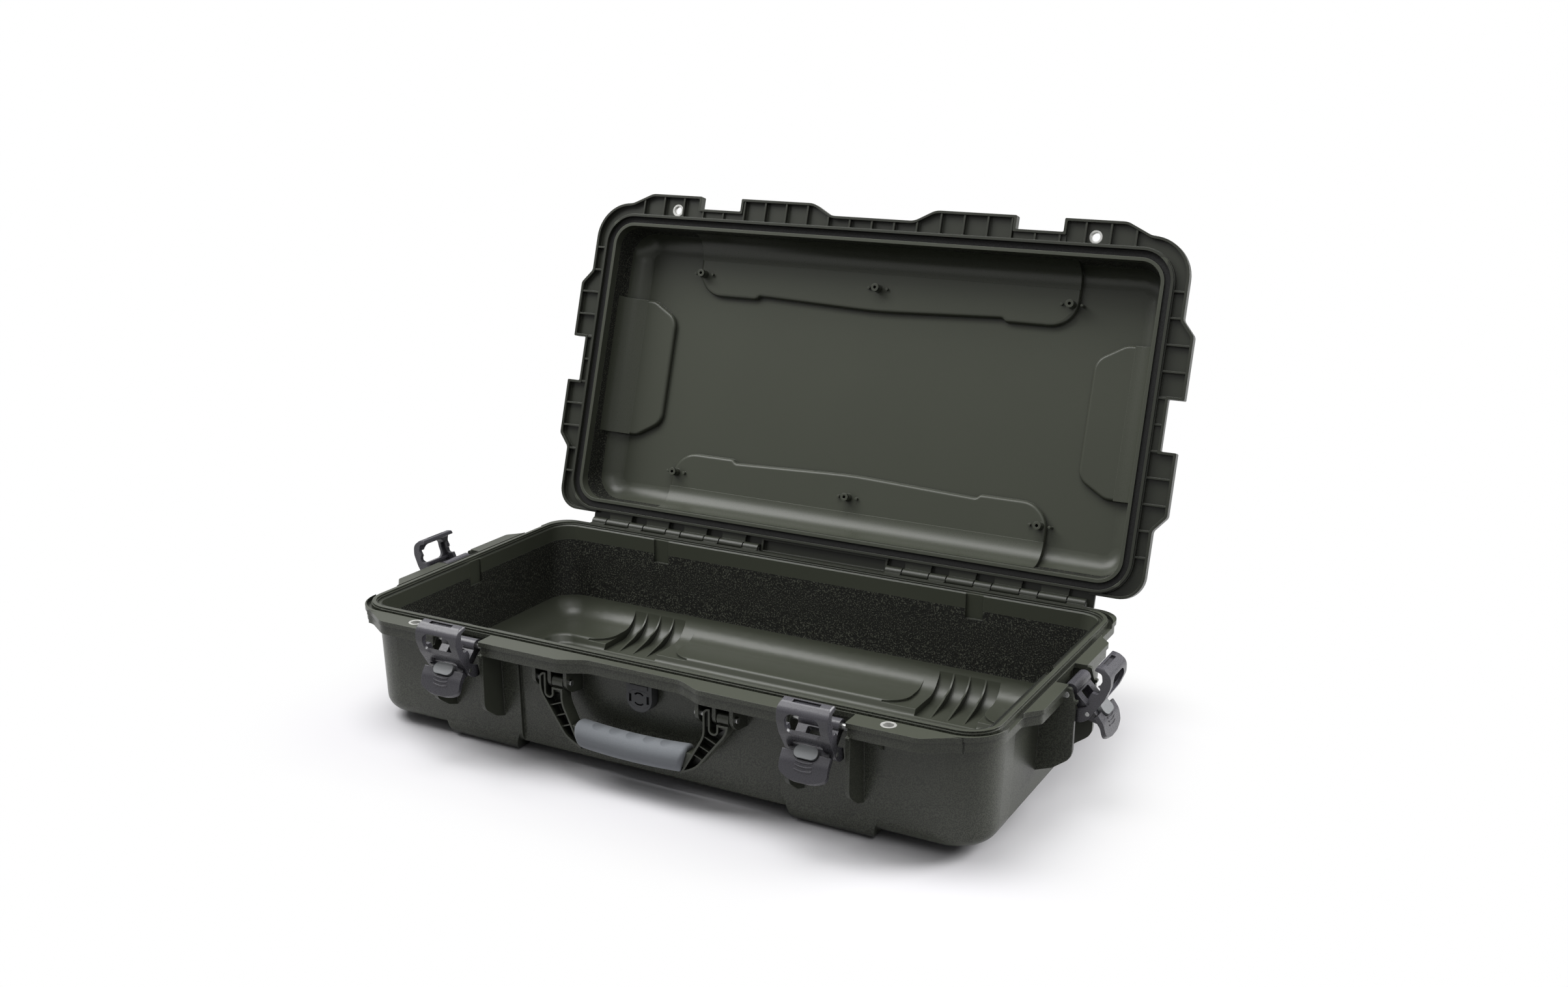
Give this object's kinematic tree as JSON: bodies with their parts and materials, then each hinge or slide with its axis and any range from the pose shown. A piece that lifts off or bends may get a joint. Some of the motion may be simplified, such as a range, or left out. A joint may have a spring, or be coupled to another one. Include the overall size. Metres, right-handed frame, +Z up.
{
  "type": "hard case",
  "caption": "Rigid moulded carrying case with a hinged lid, draw latches, a drop handle, padlock eyelets and a pressure relief valve, shown open.",
  "frame": {"origin": "middle of the opening, in the plane on which the case stands", "axes": "+X along the front to the right, +Y from the front to the hinge, +Z up"},
  "size_m": [0.6698, 0.4901, 0.4238],
  "materials": {
    "shell_polymer": "fine moulded grain",
    "latch_polymer": "smooth satin",
    "lock_polymer": "smooth gloss",
    "grip_rubber": "soft matt overmould",
    "gasket_rubber": "soft matt",
    "pin_steel": "drawn",
    "eyelet_steel": "pressed",
    "valve_polymer": "smooth satin"
  },
  "bodies": {
    "base": {"base_shell": "shell_polymer", "base_eyelets": "eyelet_steel", "hinge_pins": "pin_steel", "handle_pins": "pin_steel", "latch_pivot_pins": "pin_steel", "valve_body": "valve_polymer", "valve_cap": "valve_polymer", "valve_seal": "gasket_rubber", "valve_nut": "valve_polymer"},
    "lid": {"lid_shell": "shell_polymer", "lid_gasket": "gasket_rubber", "lid_eyelets": "eyelet_steel"},
    "handle": {"handle_frame": "shell_polymer", "handle_grip": "grip_rubber"},
    "latch_front_left_lever": {"latch_front_left_lever": "latch_polymer", "latch_front_left_claw_pin": "pin_steel"},
    "latch_front_left_claw": {"latch_front_left_claw": "latch_polymer"},
    "latch_front_left_slider": {"latch_front_left_slider": "lock_polymer"},
    "latch_front_right_lever": {"latch_front_right_lever": "latch_polymer", "latch_front_right_claw_pin": "pin_steel"},
    "latch_front_right_claw": {"latch_front_right_claw": "latch_polymer"},
    "latch_front_right_slider": {"latch_front_right_slider": "lock_polymer"},
    "latch_left_side_lever": {"latch_left_side_lever": "latch_polymer", "latch_left_side_claw_pin": "pin_steel"},
    "latch_left_side_claw": {"latch_left_side_claw": "latch_polymer"},
    "latch_left_side_slider": {"latch_left_side_slider": "lock_polymer"},
    "latch_right_side_lever": {"latch_right_side_lever": "latch_polymer", "latch_right_side_claw_pin": "pin_steel"},
    "latch_right_side_claw": {"latch_right_side_claw": "latch_polymer"},
    "latch_right_side_slider": {"latch_right_side_slider": "lock_polymer"}
  },
  "joints": [
    {"name": "lid_hinge", "type": "hinge", "parent": "base", "child": "lid", "pos_m": [0, 0.162, 0.1041], "axis": [1, 0, 0], "range_deg": [0, 106.84]},
    {"name": "handle_swing", "type": "hinge", "parent": "base", "child": "handle", "pos_m": [0, -0.16, 0.083], "axis": [-1, 0, 0], "range_deg": [0, 90]},
    {"name": "latch_front_left_lever_turn", "type": "hinge", "parent": "base", "child": "latch_front_left_lever", "pos_m": [-0.1645, -0.162, 0.098], "axis": [1, 0, 0], "range_deg": [0, 45]},
    {"name": "latch_front_left_claw_turn", "type": "hinge", "parent": "latch_front_left_lever", "child": "latch_front_left_claw", "pos_m": [-0.1645, -0.17727, 0.08273], "axis": [1, 0, 0], "range_deg": [-59.8, 0]},
    {"name": "latch_front_left_lock_slide", "type": "slide", "parent": "latch_front_left_lever", "child": "latch_front_left_slider", "axis": [0, 0.7071, 0.7071], "range_m": [0, 0.004]},
    {"name": "latch_front_right_lever_turn", "type": "hinge", "parent": "base", "child": "latch_front_right_lever", "pos_m": [0.1645, -0.162, 0.098], "axis": [1, 0, 0], "range_deg": [0, 45]},
    {"name": "latch_front_right_claw_turn", "type": "hinge", "parent": "latch_front_right_lever", "child": "latch_front_right_claw", "pos_m": [0.1645, -0.17727, 0.08273], "axis": [1, 0, 0], "range_deg": [-59.8, 0]},
    {"name": "latch_front_right_lock_slide", "type": "slide", "parent": "latch_front_right_lever", "child": "latch_front_right_slider", "axis": [0, 0.7071, 0.7071], "range_m": [0, 0.004]},
    {"name": "latch_left_side_lever_turn", "type": "hinge", "parent": "base", "child": "latch_left_side_lever", "pos_m": [-0.303, 0, 0.098], "axis": [0, -1, 0], "range_deg": [0, 45]},
    {"name": "latch_left_side_claw_turn", "type": "hinge", "parent": "latch_left_side_lever", "child": "latch_left_side_claw", "pos_m": [-0.31827, 0, 0.08273], "axis": [0, -1, 0], "range_deg": [-59.8, 0]},
    {"name": "latch_left_side_lock_slide", "type": "slide", "parent": "latch_left_side_lever", "child": "latch_left_side_slider", "axis": [0.7071, 0, 0.7071], "range_m": [0, 0.004]},
    {"name": "latch_right_side_lever_turn", "type": "hinge", "parent": "base", "child": "latch_right_side_lever", "pos_m": [0.303, 0, 0.098], "axis": [0, 1, 0], "range_deg": [0, 45]},
    {"name": "latch_right_side_claw_turn", "type": "hinge", "parent": "latch_right_side_lever", "child": "latch_right_side_claw", "pos_m": [0.31827, 0, 0.08273], "axis": [0, 1, 0], "range_deg": [-59.8, 0]},
    {"name": "latch_right_side_lock_slide", "type": "slide", "parent": "latch_right_side_lever", "child": "latch_right_side_slider", "axis": [-0.7071, 0, 0.7071], "range_m": [0, 0.004]}
  ],
  "couplings": [
    {"joint": "latch_front_left_claw_turn", "follows": "latch_front_left_lever_turn", "ratio": -1.3289},
    {"joint": "latch_front_right_claw_turn", "follows": "latch_front_right_lever_turn", "ratio": -1.3289},
    {"joint": "latch_left_side_claw_turn", "follows": "latch_left_side_lever_turn", "ratio": -1.3289},
    {"joint": "latch_right_side_claw_turn", "follows": "latch_right_side_lever_turn", "ratio": -1.3289}
  ]
}
